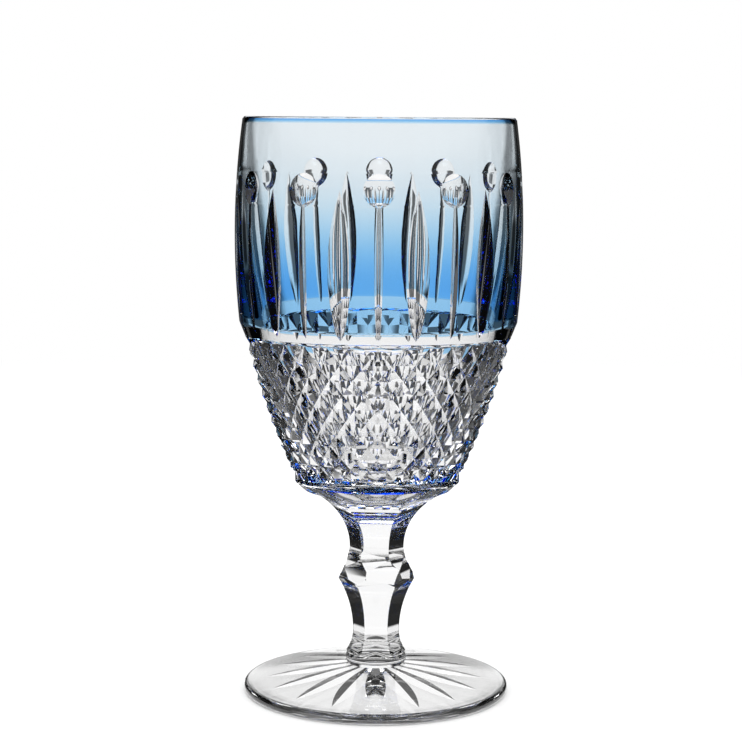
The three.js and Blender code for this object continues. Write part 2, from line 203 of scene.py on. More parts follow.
def glass(name, absorption=None):
    """Polished glass. Absorption is a colour and a density per metre for glass that is coloured through."""
    material = bpy.data.materials.new(name)
    tree = empty_tree(material)
    spot = add(tree, "ShaderNodeTexCoord").outputs["Object"]
    fused = add(tree, "ShaderNodeAttribute", {"attribute_name": "fused"}).outputs["Fac"]
    index = add(tree, MATH, {"operation": "MULTIPLY_ADD"},
                {0: fused, 1: AIR_INDEX - CRYSTAL_INDEX, 2: CRYSTAL_INDEX})
    waves = add(tree, "ShaderNodeTexNoise", None, {"Vector": spot, "Scale": 1 / (WAVE_MM * MM), "Detail": 1.0})
    polish = add(tree, "ShaderNodeBump", None,
                 {"Strength": WAVE_STRENGTH, "Distance": WAVE_DEPTH_MM * MM, "Height": waves})
    height = add(tree, "ShaderNodeSeparateXYZ", None, {0: spot}).outputs["Z"]
    standing = add(tree, MATH, {"operation": "LESS_THAN"}, {0: height, 1: SCUFF_HEIGHT_MM * MM})
    grain = add(tree, "ShaderNodeTexNoise", None, {"Vector": spot, "Scale": 1 / (SCUFF_MM * MM), "Detail": 4.0})
    scuffs = add(tree, MAP_RANGE, None, {0: grain, 1: SCUFF_FIRST, 2: SCUFF_FULL, 4: SCUFF_ROUGHNESS})
    wear = add(tree, MATH, MULTIPLY, {0: standing, 1: scuffs})
    shader = add(tree, "ShaderNodeBsdfPrincipled", None, {
        "Base Color": linear("#FFFFFF"),
        "Roughness": wear,
        "IOR": index,
        "Normal": polish,
        "Transmission Weight": 1.0,
    })
    output = add(tree, "ShaderNodeOutputMaterial", None, {"Surface": shader})
    if absorption:
        colour, density = absorption
        volume = add(tree, "ShaderNodeVolumeAbsorption", None, {"Color": linear(colour), "Density": density})
        tree.links.new(volume.outputs[0], output.inputs["Volume"])
    return material


# Polished lead crystal: colourless, with bright and dark lines wherever a facet turns.
crystal = glass("clear_lead_crystal")
# A skin of cobalt glass: deep blue where it is thick, and nearly clear where it was blown thin. A tenth of a
# millimetre takes away about 60 % of the red light.
blue = glass("cobalt_casing_glass", ("#00CEFD", 9300.0))
print("finishes:", crystal.name, blue.name)

# %% [markdown]
# ## A tree that repeats a cut pattern around the axis
# The cutter divides the bowl into equal parts and repeats the same cuts in each. An Array modifier could do
# that, but Geometry Nodes can also mirror: half of one part is made, and the tree mirrors it, sets a copy at
# each step around the axis, merges the seams, and adds a little unevenness, as in all work by hand.

# %% Geometry Nodes: repeat around the axis
MERGE_MM, WANDER_MM = 0.002, 10 / 7  # seven waves of unevenness in 10 mm


def new_tree(name, sizes):
    """A Geometry Nodes tree with named inputs, and the sockets that give them."""
    tree = bpy.data.node_groups.new(name, "GeometryNodeTree")
    for given, kind in {"Geometry": "Geometry", **sizes, "Material": "Material"}.items():
        tree.interface.new_socket(given, in_out="INPUT", socket_type="NodeSocket" + kind)
    tree.interface.new_socket("Geometry", in_out="OUTPUT", socket_type="NodeSocketGeometry")
    return tree, add(tree, "NodeGroupInput").outputs


def repeat_tree():
    tree, given = new_tree("repeat_cuts_around", {"Count": "Int", "Turn": "Float", "Unevenness": "Float"})
    mirror = add(tree, "GeometryNodeTransform", None, {"Geometry": given["Geometry"], "Scale": (-1, 1, 1)})
    flip = add(tree, "GeometryNodeFlipFaces", None, {"Mesh": mirror})
    whole = add(tree, "GeometryNodeJoinGeometry", None, {0: flip})
    tree.links.new(given["Geometry"], whole.inputs[0])
    points = add(tree, "GeometryNodePoints", None, {"Count": given["Count"]})
    index = add(tree, "GeometryNodeInputIndex")
    step = add(tree, MATH, {"operation": "DIVIDE"}, {0: 2 * math.pi, 1: given["Count"]})
    angle = add(tree, MATH, {"operation": "MULTIPLY_ADD"}, {0: index, 1: step, 2: given["Turn"]})
    spin = add(tree, "ShaderNodeCombineXYZ", None, {"Z": angle})
    copies = add(tree, "GeometryNodeInstanceOnPoints", None, {0: points, "Instance": whole, "Rotation": spin})
    real = add(tree, "GeometryNodeRealizeInstances", None, {"Geometry": copies})
    merged = add(tree, "GeometryNodeMergeByDistance", None, {"Geometry": real, "Distance": MERGE_MM * MM})
    wander = add(tree, "ShaderNodeTexNoise", None, {"Scale": 1 / (WANDER_MM * MM), "Detail": 0.0})
    centred = add(tree, "ShaderNodeVectorMath", SUBTRACT, {0: wander.outputs["Color"], 1: (0.5, 0.5, 0.5)})
    level = add(tree, "ShaderNodeVectorMath", MULTIPLY, {0: centred, 1: (1, 1, 0)})
    off = add(tree, "ShaderNodeVectorMath", {"operation": "SCALE"}, {0: level, "Scale": given["Unevenness"]})
    uneven = add(tree, "GeometryNodeSetPosition", None, {"Geometry": merged, "Offset": off})
    done = add(tree, "GeometryNodeSetMaterial", None, {"Geometry": uneven, "Material": given["Material"]})
    add(tree, "NodeGroupOutput", None, {"Geometry": done})
    return tree


repeat_around = repeat_tree()
print("tree:", repeat_around.name, "with", len(repeat_around.nodes), "nodes")


# %% Geometry Nodes: run a tree
def evaluate(name, mesh, values, tree=repeat_around):
    """Runs a tree on a mesh and returns the result as a plain mesh."""
    holder = linked(name, mesh)
    modifier = holder.modifiers.new(tree.name, "NODES")
    modifier.node_group = tree
    for socket in tree.interface.items_tree:
        if socket.in_out == "INPUT" and socket.name in values:
            modifier[socket.identifier] = values[socket.name]
    graph = bpy.context.evaluated_depsgraph_get()
    plain = bpy.data.meshes.new_from_object(holder.evaluated_get(graph), depsgraph=graph)
    plain.name = name
    bpy.data.objects.remove(holder)
    return plain


print("sockets:", [socket.name for socket in repeat_around.interface.items_tree])

# %% [markdown]
# ## The cuts through the casing
# A punty is a round hollow ground by the rim of a small stone, so it is part of a sphere. A lancet and a slim
# flute are mitre cuts: a V-edged wheel goes in, deepest half way, and runs out to a point at both ends, and its
# wear rounds the floor a little. Booleans would leave ragged triangles along the edges. Instead, functions give
# how deep a wheel stands and where its cut meets a round surface, and the mesh's columns follow those edges.

# %% Cut shapes: lancets and flutes
LANCET = dict(start=112.2, end=159.0, width=7.1, flank=45)
FLUTE = dict(start=108.0, end=162.0, width=2.5, flank=50)
CUT_ROUNDING, FAR_OUT, TINY, HALVINGS = 1.4, 1e3, 1e-9, 40


def leaf_half(leaf, height):
    """Half the width of a leaf-shaped cut on the barrel."""
    share = (height - leaf["start"]) / (leaf["end"] - leaf["start"])
    return np.maximum(leaf["width"] / 2 * (1 - (2 * share - 1) ** 2), 0)


def leaf_floor(leaf, height, side):
    """How far out the cut's floor lies, at a distance to the side of its middle line."""
    half = np.maximum(leaf_half(leaf, height), TINY)
    depth = half * math.tan(math.radians(leaf["flank"])) / CUT_ROUNDING * (1 - (side / half) ** CUT_ROUNDING)
    return np.where(side < half, np.sqrt(barrel(height) ** 2 - side ** 2) - depth, FAR_OUT)


def leaf_edge(leaf, height, surface):
    """Half the width of a leaf-shaped cut where it meets a surface, found by halving."""
    inside, outside = np.zeros_like(height), leaf_half(leaf, height)
    reached = np.where(outside > 0, leaf_floor(leaf, height, inside), FAR_OUT) < surface
    for _ in range(HALVINGS):
        middle = (inside + outside) / 2
        below = np.hypot(leaf_floor(leaf, height, middle), middle) < surface
        inside, outside = np.where(below, middle, inside), np.where(below, outside, middle)
    return np.where(reached, inside, 0)


lancet_depth = LANCET["width"] / 2 / CUT_ROUNDING * math.tan(math.radians(LANCET["flank"]))
print("a lancet is", round(lancet_depth, 2), "mm deep")

# %% Cut shapes: punties
PUNTY_RADIUS, PUNTY_WHEEL, PUNTY_HEIGHT = 4.9, 6.6, 159.2
PUNTY_CENTRE = barrel(PUNTY_HEIGHT) + math.sqrt(PUNTY_WHEEL ** 2 - PUNTY_RADIUS ** 2)


def punty_edge(height, surface):
    """Half the width of a punty where it meets a surface."""
    off = height - PUNTY_HEIGHT
    inward = (surface ** 2 + PUNTY_CENTRE ** 2 + off ** 2 - PUNTY_WHEEL ** 2) / (2 * PUNTY_CENTRE)
    return np.sqrt(np.maximum(surface ** 2 - inward ** 2, 0))


def punty_floor(height, side):
    """How far out its floor lies."""
    left = PUNTY_WHEEL ** 2 - side ** 2 - (height - PUNTY_HEIGHT) ** 2
    return np.where(left > 0, PUNTY_CENTRE - np.sqrt(np.maximum(left, 0)), FAR_OUT)


print("a punty is", round(barrel(PUNTY_HEIGHT) - PUNTY_CENTRE + PUNTY_WHEEL, 2), "mm deep")

# %% Cut shapes: one half part
CUT_REPEATS = 12
HALF_PART = 180 / CUT_REPEATS


def cut_zone(heights, surface, steps):
    """Radii and angles from the middle of the punty and its flute to their edge, and for the lancet."""
    z = heights[:, None]
    edge = np.maximum(leaf_edge(FLUTE, heights, surface), punty_edge(heights, surface))
    side = edge[:, None] * shares(steps)
    inward = np.minimum(leaf_floor(FLUTE, z, side), punty_floor(z, side))
    inward = np.minimum(inward, np.sqrt(surface[:, None] ** 2 - side ** 2))
    keyhole = np.hypot(inward, side), np.degrees(np.arctan2(side, inward))
    edge = leaf_edge(LANCET, heights, surface)
    side = edge[:, None] * (1 - shares(steps))
    inward = np.minimum(leaf_floor(LANCET, z, side), np.sqrt(surface[:, None] ** 2 - side ** 2))
    lancet = np.hypot(inward, side), HALF_PART - np.degrees(np.arctan2(side, inward))
    return keyhole, lancet


print("half a part spans", HALF_PART, "degrees")

# %% [markdown]
# ## From sheets to a finished piece
# Sheets that share an edge are joined, doubled points are merged, and rings with different counts are stitched
# with triangles. Every face is shaded smooth, and edges sharper than a small angle stay crisp. A bevel would
# soften each edge, but cut crystal is prized for sharp ones, so none is made.

# %% Joining helpers
RING, SAME_HEIGHT = 192, 0.01


def ring_of(open_edges, height):
    """Points of the open ring that lies at a height, sorted by their angle about the axis."""
    found = {v for edge in open_edges for v in edge.verts if abs(v.co.z / MM - height) < SAME_HEIGHT}
    return sorted(found, key=lambda v: math.atan2(v.co.x, -v.co.y) % (2 * math.pi - 1e-5))


def stitch(bm, below, above):
    """Closes the band between two open rings with triangles."""
    open_edges = [edge for edge in bm.edges if edge.is_boundary]
    lower, upper = (ring_of(open_edges, height) for height in (below, above))
    low = high = 0
    while low < len(lower) or high < len(upper):
        a, b = lower[low % len(lower)], upper[high % len(upper)]
        if high * len(lower) < low * len(upper):
            bm.faces.new((a, upper[(high + 1) % len(upper)], b))
            high += 1
        else:
            bm.faces.new((a, lower[(low + 1) % len(lower)], b))
            low += 1


def gather(meshes, stitched=(), capped=()):
    """One bmesh from several sheets, closed. A capped ring is filled with a fused face."""
    bm = bmesh.new()
    bm.faces.layers.float.new("fused")
    for mesh in meshes:
        bm.from_mesh(mesh)
    bmesh.ops.remove_doubles(bm, verts=bm.verts, dist=MERGE_MM * MM)
    for below, above in stitched:
        stitch(bm, below, above)
    for height in capped:
        rim = [edge for edge in bm.edges
               if edge.is_boundary and all(abs(v.co.z / MM - height) < SAME_HEIGHT for v in edge.verts)]
        for face in bmesh.ops.holes_fill(bm, edges=rim)["faces"]:
            face[bm.faces.layers.float["fused"]] = 1.0
    return bm


print("turned faces have", RING, "points around")

# %% Finishing helpers
SHARP, DEGENERATE_MM = math.radians(17), 0.0005


def to_mesh(bm, name):
    mesh = bpy.data.meshes.new(name)
    bm.to_mesh(mesh)
    bm.free()
    return mesh


def finish(bm, name, material):
    """Turns a bmesh into the piece that stands for the CAD node of that name."""
    bmesh.ops.dissolve_degenerate(bm, dist=DEGENERATE_MM * MM, edges=bm.edges)
    open_edges = sum(not edge.is_manifold for edge in bm.edges)
    volume = round(bm.calc_volume(signed=True) * 1e6, 2)
    mesh = to_mesh(bm, name)
    mesh.shade_smooth()
    mesh.set_sharp_from_angle(angle=SHARP)
    mesh.materials.clear()
    mesh.materials.append(material)
    piece = linked(name + "_fine", mesh)
    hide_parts(name)
    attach(piece, "root")
    mesh.calc_loop_triangles()
    print(name, len(mesh.loop_triangles), "triangles,", open_edges, "open edges,", volume, "ml")


print("edges stay crisp above", round(math.degrees(SHARP)), "degrees")

# %% [markdown]
# ## The blue casing
# The casing is the skin of blue glass between the cuts. It thins upwards, as the gather was blown out, ends in
# a fine bead at the rim, and is trimmed by a bevel below. A Solidify modifier would give a single thickness, so
# half a part is woven from an outer face, an inner face fused to the bowl, and walls at the cuts.

# %% Thickness of the casing
CASING_THIN, CASING_THICK, CASING_MIDDLE, CASING_FADE = 0.006, 0.165, 134.0, 7.5
CASING_FOOT_LOSS, CASING_FOOT_FADE = 0.4, 6.0
CASING_BEAD, CASING_BEAD_HEIGHT = 0.22, 0.25


def casing_thickness(height):
    """Thick low down, fading upwards to a film, with a bead at the rim."""
    body = CASING_THICK / (1 + np.exp((height - CASING_MIDDLE) / CASING_FADE))
    foot = 1 - CASING_FOOT_LOSS * np.exp((CASING_FOOT - height) / CASING_FOOT_FADE)
    bead = CASING_BEAD * np.exp((height - RIM_SHOULDER) / CASING_BEAD_HEIGHT)
    return CASING_THIN + body * foot + bead


def inner_face(height, gap=0.0):
    """The radius of the casing's inner face, or of the bowl's face when there is a gap."""
    return barrel(height) - casing_thickness(height) - gap


print("casing at its middle:", round(casing_thickness(CASING_MIDDLE), 3), "mm thick")


# %% Rows of the barrel
def crossing(values, heights):
    """Height of the highest place where the values change sign."""
    place_of = np.nonzero(np.diff(np.sign(values)))[0][-1]
    share = values[place_of] / (values[place_of] - values[place_of + 1])
    return heights[place_of] + share * (heights[place_of + 1] - heights[place_of])


fine = np.linspace(CASING_FOOT, RIM_SHOULDER, 200001)
at_middle = np.zeros_like(fine)
punties_top = crossing(PUNTY_WHEEL - np.hypot(barrel(fine) - PUNTY_CENTRE, fine - PUNTY_HEIGHT), fine)
punty_through = crossing(inner_face(fine) - punty_floor(fine, at_middle), fine)
lancet_through = crossing(inner_face(fine) - leaf_floor(LANCET, fine, at_middle), fine)
punty_rows = PUNTY_HEIGHT - (punties_top - PUNTY_HEIGHT) * np.cos(np.linspace(0, np.pi, 29))
barrel_rows = np.unique(np.round(np.concatenate([
    np.linspace(CASING_FOOT, punty_rows[0], 48),
    punty_rows,
    np.linspace(punties_top, RIM_SHOULDER, 13),
    [punty_through, lancet_through, LANCET["end"]],
]), 9))
print(len(barrel_rows), "rows; the casing is cut through up to", round(punty_through, 2), "mm")

# %% Blue casing mesh
PLAIN_STEPS, NO_ANGLE = RING // (2 * CUT_REPEATS), 1e-7


def casing_half():
    sheet = Sheet()
    z = barrel_rows
    outer = barrel(z)
    trim = CASING_FOOT - casing_thickness(CASING_FOOT) * BEVEL_SLOPE
    inner_z = np.concatenate([[trim], z[1:]])
    inner = np.concatenate([[inner_face(CASING_FOOT)], inner_face(z[1:])])
    across = shares(PLAIN_STEPS)
    edges = []
    for heights, surface in ((z, outer), (inner_z, inner)):
        (_, key_angle), (_, lancet_angle) = cut_zone(heights, surface, 1)
        left, right = key_angle[:, -1], lancet_angle[:, 0]
        angles = left[:, None] + (right - left)[:, None] * across
        edges.append((left, right, place(surface[:, None], angles, heights[:, None])))
    (left, right, outside), (inner_left, inner_right, inside) = edges
    sheet.grid(outside)
    sheet.grid(inside, fused=np.ones((len(z) - 1, PLAIN_STEPS)), flip=True)
    sheet.grid(np.stack([inside[0], outside[0]]))
    sheet.grid(np.stack([outside[-1], inside[-1]]))
    middle = np.zeros_like(z)
    key_floor = np.minimum(leaf_floor(FLUTE, z, middle), punty_floor(z, middle))
    lancet_floor = leaf_floor(LANCET, z, middle)
    for floor, cut, seam, column, order in (
        (key_floor, left > NO_ANGLE, inner_left, 0, (0, 1)),
        (lancet_floor, right < HALF_PART - NO_ANGLE, inner_right, -1, (1, 0)),
    ):
        reach = np.where(floor < outer, np.maximum(floor, inner), outer)
        foot_of_wall = place(reach, seam, inner_z)
        wall = np.stack([foot_of_wall, outside[:, column]], 1)[:, list(order)]
        for row in range(len(z) - 1):
            if cut[row] or cut[row + 1]:
                sheet.grid(wall[row:row + 2])
    return sheet.mesh("casing_half")


casing = evaluate("casing", casing_half(), {"Count": CUT_REPEATS, "Material": blue})
finish(gather([casing]), "blue_casing", blue)

# %% [markdown]
# ## The diamond cutting
# Two sets of V-shaped grooves cross on the lower bowl and leave rows of four-sided pyramids. Booleans could cut
# them, but the pattern is regular: in each row tips and crossings take turns, and the next row is shifted by
# half a diamond. So half a column is made, and the tree repeats it. The rows grow with the bowl's girth, and
# each quad folds between its crossings, along the floor of a groove. No hand is quite steady, so the points
# wander by a few hundredths of a millimetre.

# %% Diamond cutting
DIAMONDS_AROUND, DIAMOND_ROWS, DIAMOND_MITRE, DIAMOND_WANDER = 32, 10, 118, 0.12


def diamond_half():
    sheet = Sheet()
    share = np.linspace(1, 0, DIAMOND_ROWS + 1)
    mean = (DIAMOND_TOP_RADIUS + DIAMOND_BOTTOM_RADIUS) / 2
    girth = DIAMOND_TOP_RADIUS + (DIAMOND_BOTTOM_RADIUS - DIAMOND_TOP_RADIUS) * share
    height = DIAMOND_TOP - (DIAMOND_TOP - DIAMOND_BOTTOM) * share * (DIAMOND_TOP_RADIUS + girth) / 2 / mean
    tip = diamond_tips(height)
    wide = 2 * math.pi * tip / DIAMONDS_AROUND
    tall = 2 * (DIAMOND_TOP - DIAMOND_BOTTOM) / DIAMOND_ROWS * girth / mean
    groove = wide * tall / np.hypot(wide, tall) / 2 / math.tan(math.radians(DIAMOND_MITRE / 2))
    sunk = (np.arange(DIAMOND_ROWS + 1)[:, None] + np.arange(2)[None, :] + DIAMOND_ROWS) % 2 == 0
    radius = tip[:, None] - groove[:, None] * sunk
    points = place(radius, np.array([[0, 180 / DIAMONDS_AROUND]]), height[:, None])
    for row in range(DIAMOND_ROWS):
        quad = points[row:row + 2]
        first = len(sheet.points)
        sheet.points.extend([quad[0, 0], quad[0, 1], quad[1, 1], quad[1, 0]])
        folds = ((0, 1, 2), (0, 2, 3)) if sunk[row, 0] else ((0, 1, 3), (1, 2, 3))
        sheet.faces.extend([first + corner for corner in fold] for fold in folds)
        sheet.fused.extend([0.0, 0.0])
    return sheet.mesh("diamond_half")


diamonds = evaluate("diamonds", diamond_half(), {
    "Count": DIAMONDS_AROUND, "Unevenness": DIAMOND_WANDER * MM, "Material": crystal})
print("diamonds:", len(diamonds.polygons), "facets")

# %% [markdown]
# ## The clear bowl
# Outside, the bowl follows the inner face of the casing, with the cuts going on into clear glass. Then come the
# bevel, the diamonds, a plain collar, and the underside, where six flutes of the stem end in arches. A spun
# profile couldn't hold all these, so each zone is a sheet of its own. The faces under the casing lie a hair's
# breadth inside it, because two faces in the same place would flicker.

# %% Clear bowl: the cut barrel
CASING_GAP, CUT_STEPS, BEVEL_STEPS = 0.02, 8, 8


def bowl_half():
    sheet = Sheet()
    trim = CASING_FOOT - (casing_thickness(CASING_FOOT) + CASING_GAP) * BEVEL_SLOPE
    z = np.concatenate([np.linspace(BEVEL_BOTTOM, trim, BEVEL_STEPS + 1), barrel_rows[1:]])
    bevel = BEVEL_RADIUS + (z - BEVEL_BOTTOM) / BEVEL_SLOPE
    surface = np.where(z <= trim, bevel, inner_face(z, CASING_GAP))
    (key_radius, key_angle), (lancet_radius, lancet_angle) = cut_zone(z, surface, CUT_STEPS)
    across = shares(PLAIN_STEPS)[:, 1:-1]
    left, right = key_angle[:, -1:], lancet_angle[:, :1]
    plain_angle = left + (right - left) * across
    plain_radius = np.repeat(surface[:, None], PLAIN_STEPS - 1, 1)
    radii = np.concatenate([key_radius, plain_radius, lancet_radius], 1)
    angles = np.concatenate([key_angle, plain_angle, lancet_angle], 1)
    fused = np.zeros((len(z) - 1, radii.shape[1] - 1))
    fused[z[:-1] >= trim, CUT_STEPS:CUT_STEPS + PLAIN_STEPS] = 1
    sheet.grid(place(radii, angles, z[:, None]), fused)
    return sheet.mesh("bowl_half")


bowl_barrel = evaluate("bowl_barrel", bowl_half(), {"Count": CUT_REPEATS, "Material": crystal})
print("cut barrel:", len(bowl_barrel.polygons), "faces")

# %% [markdown]
# ## Flutes, and the underside of the bowl
# Each ring of six flutes is ground by a large wheel moved along the stem, so at every height the section is a
# hexagon, and the distance from the axis to a flute follows the wheel's arc. The upper flutes run on into the
# bowl's underside. A Boolean would make jagged arches there, so the columns follow the edges of the arches and
# the rows close up towards their tops.

# %% Flute rings
FLUTES = 6
HALF_FLUTE = 180 / FLUTES
UPPER = dict(waist=45.9, apothem=7.36, above=19.0, below=8.0, turn=-3.75)
KNOP_CUT = dict(waist=42.5, apothem=8.75, above=10.0, below=10.0, turn=13.0)
LOWER = dict(waist=19.1, apothem=6.3, above=36.0, below=13.0, turn=0.0)


def flute_apothem(ring, height):
    """The distance from the axis to the flutes of a ring at a height."""
    sweep = np.where(height > ring["waist"], ring["above"], ring["below"])
    lean = np.clip((height - ring["waist"]) / sweep, -1, 1)
    reach = np.abs(height - ring["waist"]) < sweep
    return np.where(reach, ring["apothem"] + sweep * (1 - np.sqrt(1 - lean ** 2)), FAR_OUT)


print("the stem is slimmest at", LOWER["waist"], "mm:", 2 * LOWER["apothem"], "mm across flats")

# %% Clear bowl: the underside
SEAM, SEAM_RADIUS = 54.5, 12.0
COLLAR_BOTTOM, COLLAR_TOP, COLLAR_RADIUS = 67.0, 70.6, 25.7
ARCH_HEIGHT, FLUTE_STEPS = 2.2, 6


def underside_half():
    sheet = Sheet()
    cone = profile_through((SEAM_RADIUS, SEAM), (COLLAR_RADIUS, COLLAR_BOTTOM))
    dense = np.linspace(SEAM, COLLAR_BOTTOM, 200001)
    arch = crossing(cone(dense) - flute_apothem(UPPER, dense), dense)
    straight = np.linspace(SEAM, arch - ARCH_HEIGHT, 16)[:-1]
    closing = arch - ARCH_HEIGHT * (1 - np.linspace(0, 1, 22)) ** 2
    z = np.concatenate([straight, closing, [COLLAR_BOTTOM]])
    apothem = np.minimum(flute_apothem(UPPER, z), cone(z))
    edge = np.degrees(np.arccos(np.clip(apothem / cone(z), -1, 1)))
    edge = np.minimum(edge, HALF_FLUTE)[:, None]
    flute = edge * shares(FLUTE_STEPS)
    plain = edge + (HALF_FLUTE - edge) * shares(RING // (2 * FLUTES))[:, 1:]
    flute_radius = apothem[:, None] / np.cos(np.radians(flute))
    ridge = np.minimum(cone(z), apothem / np.cos(np.radians(edge[:, 0])))
    radii = np.concatenate([flute_radius, np.repeat(ridge[:, None], plain.shape[1], 1)], 1)
    angles = np.concatenate([flute, plain], 1)
    sheet.grid(place(radii, angles, z[:, None]))
    return sheet.mesh("underside_half")


underside = evaluate("underside", underside_half(), {
    "Count": FLUTES, "Turn": math.radians(UPPER["turn"]), "Material": crystal})
print("underside:", len(underside.polygons), "faces")

# %% [markdown]
# ## The hollow, the lip and the collar
# Inside, the bowl is a smooth blown hollow that narrows behind the diamonds, where the wall is thick enough for
# deep cutting. The lip is rounded by fire, and the collar below the diamonds is a plain band. All are round, so
# each is a stack of rings. The Spin tool would do as well, but a stack takes its radii from the profiles.

# %% Clear bowl: profile of the hollow
HOLLOW_FLOOR, HOLLOW_ROUNDING, LOWEST_WALL = 68.0, 14.0, 12.0


def hollow_profile():
    """Radius and height from below the lip down to the middle of the floor."""
    upper = [(hollow_top(z), z) for z in np.linspace(RIM_SHOULDER, DIAMOND_TOP, 34)[1:]]
    rounding_top = HOLLOW_FLOOR + HOLLOW_ROUNDING
    gain = (LOWEST_WALL - DIAMOND_WALL) / (DIAMOND_TOP - rounding_top)
    lower = [(diamond_tips(z) - DIAMOND_WALL - gain * (DIAMOND_TOP - z), z)
             for z in np.linspace(DIAMOND_TOP, rounding_top, 22)[1:]]
    start = np.array(lower[-1])
    slope = diamond_tips.deriv()(rounding_top) + gain
    bend = np.array([start[0] - slope * HOLLOW_ROUNDING, HOLLOW_FLOOR])
    end = np.array([0.0, HOLLOW_FLOOR])
    floor = [tuple((1 - t) ** 2 * start + 2 * t * (1 - t) * bend + t ** 2 * end)
             for t in np.linspace(0, 1, 30)[1:]]
    return upper + lower + floor


print("hollow:", len(hollow_profile()), "rings")


# %% Clear bowl: the turned faces and the whole
def bowl_turned():
    sheet = Sheet()
    face = inner_face(RIM_SHOULDER, CASING_GAP)
    inside = RIM_RADIUS - RIM_WALL
    soft = RIM_SOFTENING
    quarter = np.linspace(0, math.pi / 2, 7)
    lip = [(face - soft * (1 - math.cos(a)), RIM_SHOULDER + soft * math.sin(a)) for a in quarter]
    lip += [(inside + soft * (1 - math.sin(a)), RIM_SHOULDER + soft * math.cos(a)) for a in quarter]
    sheet.grid(ring_stack(lip + hollow_profile(), RING))
    sheet.grid(ring_stack([(COLLAR_RADIUS, z) for z in np.linspace(COLLAR_BOTTOM, COLLAR_TOP, 4)], RING))
    return sheet.mesh("bowl_turned")


finish(
    gather([bowl_barrel, diamonds, underside, bowl_turned()],
           stitched=[(COLLAR_TOP, DIAMOND_BOTTOM), (DIAMOND_TOP, BEVEL_BOTTOM)], capped=[SEAM]),
    "bowl", crystal)

# %% [markdown]
# ## The stem
# A stem like this is ground from a solid rod by three passes: flutes below, flutes above, and a ring of facets
# between them that leaves the knop. Grinding takes away whatever lies outside the wheel's path, so the stem is
# what the rod and the three fluted shapes have in common. Here a Mesh Boolean is the right way: it keeps that
# common part, with the crisp ridges that grinding leaves.


# %% Geometry Nodes: the stem
def stem_tree(shapes):
    tree, given = new_tree("fluted_stem", dict.fromkeys(shapes, "Object"))
    common = add(tree, "GeometryNodeMeshBoolean", {"operation": "INTERSECT", "solver": "EXACT"})
    tree.links.new(given["Geometry"], common.inputs["Mesh 2"])
    for name in shapes:
        ring = add(tree, "GeometryNodeObjectInfo", None, {"Object": given[name]})
        tree.links.new(ring.outputs["Geometry"], common.inputs["Mesh 2"])
    real = add(tree, "GeometryNodeRealizeInstances", None, {"Geometry": common})
    done = add(tree, "GeometryNodeSetMaterial", None, {"Geometry": real, "Material": given["Material"]})
    add(tree, "NodeGroupOutput", None, {"Geometry": done})
    return tree


fluted_stem = stem_tree(("Upper flutes", "Knop facets", "Lower flutes"))
print("tree:", fluted_stem.name, "with", len(fluted_stem.nodes), "nodes")

# %% Stem: the fluted shapes
STEM_STEPS, BEYOND = 80, 200.0


def closed_turned(name, profile, columns, turn=0.0):
    """A solid of rings of points from a profile that starts and ends on the axis."""
    sheet = Sheet()
    sheet.grid(ring_stack(profile, columns, turn))
    return to_mesh(gather([sheet.mesh(name)]), name)


def inside_flutes(name, waist, apothem, above, below, turn):
    """All the space that a ring of six flutes leaves: a hexagon at every height."""
    lean = np.linspace(-math.pi / 2, math.pi / 2, STEM_STEPS + 1)
    sweep = np.where(lean > 0, above, below)
    heights = waist + sweep * np.sin(lean)
    corners = (apothem + sweep * (1 - np.cos(lean))) / math.cos(math.pi / FLUTES)
    heights[[0, -1]] += -BEYOND, BEYOND
    corners[[0, -1]] += BEYOND
    profile = [(0, heights[0]), *zip(corners, heights), (0, heights[-1])]
    return linked(name, closed_turned(name, profile, FLUTES, turn + HALF_FLUTE))


rings = {"Upper flutes": inside_flutes("upper_flutes", **UPPER),
         "Knop facets": inside_flutes("knop_facets", **KNOP_CUT),
         "Lower flutes": inside_flutes("lower_flutes", **LOWER)}
print("fluted shapes:", list(rings))

# %% Stem mesh
SEAM_GAP, ROD_RADIUS = 0.01, 13.0
MERESE_TOP, MERESE_SEAT_RADIUS = 12.1, 9.0
stem_foot, stem_top = MERESE_TOP + SEAM_GAP, SEAM - SEAM_GAP
rod_profile = [(0, stem_foot), (MERESE_SEAT_RADIUS, stem_foot), (ROD_RADIUS, LOWER["waist"]),
               (ROD_RADIUS, stem_top), (0, stem_top)]
rod = closed_turned("stem_rod", rod_profile, RING // 2)
stem_mesh = evaluate("stem", rod, {**rings, "Material": crystal}, fluted_stem)
for ring in rings.values():
    bpy.data.objects.remove(ring)
stem_bm = gather([stem_mesh])
for stem_face in stem_bm.faces:
    face_height = stem_face.calc_center_median().z / MM
    at_seam = min(abs(face_height - stem_top), abs(face_height - stem_foot)) < SEAM_GAP / 10
    stem_face[stem_bm.faces.layers.float["fused"]] = float(at_seam)
finish(stem_bm, "stem", crystal)

# %% [markdown]
# ## The merese
# The merese is a small disc of hot glass pressed between stem and foot, with a rounded edge. It is fused to the
# stem inside the stem's outline, and to the foot. A squashed torus would look alike from outside, but light
# passes through the seams, so the top carries the stem's outline as an edge.

# %% Merese mesh
MERESE_RADIUS, FOOT_SEAT = 9.6, 8.8


